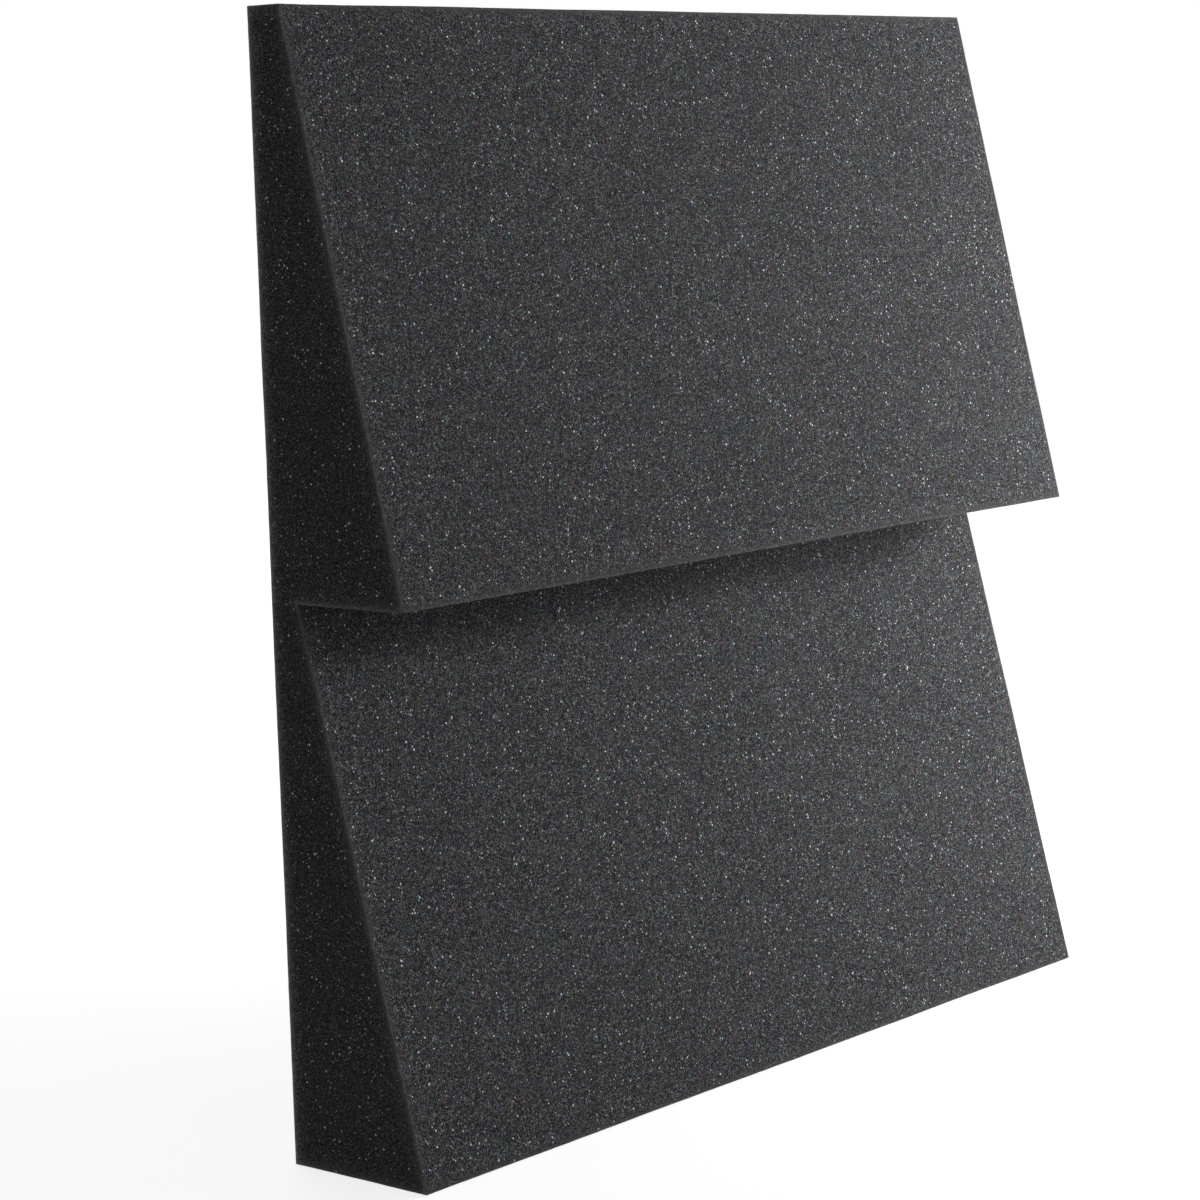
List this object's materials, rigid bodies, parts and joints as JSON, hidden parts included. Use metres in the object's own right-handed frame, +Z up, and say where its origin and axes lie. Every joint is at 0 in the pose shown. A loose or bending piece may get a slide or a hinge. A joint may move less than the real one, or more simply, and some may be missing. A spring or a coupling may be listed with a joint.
{
  "type": "acoustic foam tile",
  "caption": "Square charcoal foam absorber tile with two overhanging wedge steps on its face and adhesive pads on its flat back.",
  "frame": {"origin": "centre of the tile's flat bottom face, midway between its back and its front edge", "axes": "+X along the width, to the right for someone facing the steps; the steps face -Y and the flat back faces +Y; +Z up, as the tile hangs on a wall"},
  "size_m": [0.3048, 0.0488, 0.3048],
  "materials": {
    "foam": "charcoal open-cell polyurethane foam, cut surface, fully matte",
    "adhesive_pad": "white foam-core tape with a clear acrylic adhesive film"
  },
  "bodies": {
    "root": {"foam_tile": "foam", "mounting_pad_top_left": "adhesive_pad", "mounting_pad_top_right": "adhesive_pad", "mounting_pad_bottom_left": "adhesive_pad", "mounting_pad_bottom_right": "adhesive_pad"}
  },
  "joints": []
}
